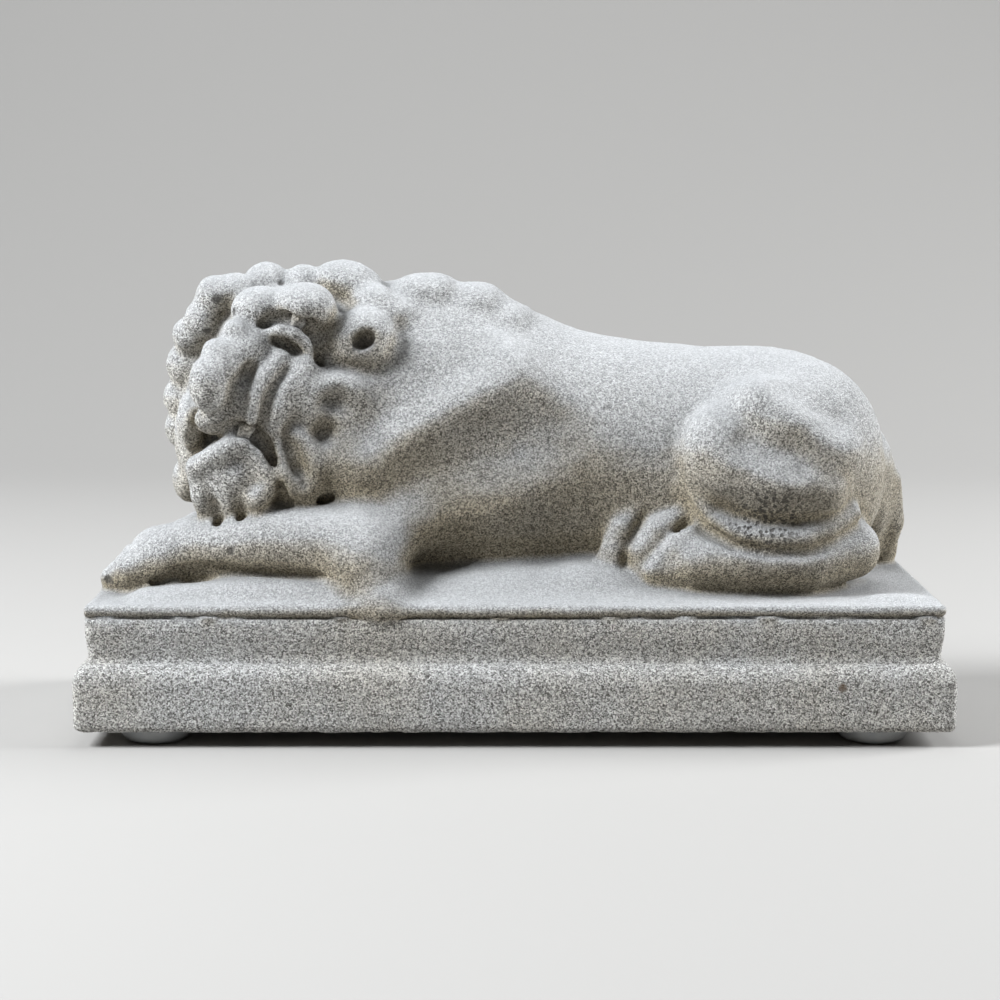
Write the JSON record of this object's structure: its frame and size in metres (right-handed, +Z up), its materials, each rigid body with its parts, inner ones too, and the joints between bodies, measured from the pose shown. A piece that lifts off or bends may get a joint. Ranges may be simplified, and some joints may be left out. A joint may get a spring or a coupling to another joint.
{
  "type": "lion garden statue",
  "caption": "Small recumbent lion, asleep with its head on its forepaws, cast in one with a moulded oblong plinth that stands on round rubber feet.",
  "frame": {"origin": "bottom centre of the statue's box, on the plane of the rubber feet's soles", "axes": "+X along the plinth towards the lion's rump, -Y towards the side its face is turned to, +Z up"},
  "size_m": [0.25, 0.098, 0.1362],
  "materials": {
    "cast_stone": "bare sandy cast stone, coarse grain, matt",
    "foot_rubber": "grey bumper, satin"
  },
  "bodies": {
    "root": {"lion_and_plinth": "cast_stone", "front_left_foot": "foot_rubber", "front_right_foot": "foot_rubber", "back_left_foot": "foot_rubber", "back_right_foot": "foot_rubber"}
  },
  "joints": []
}
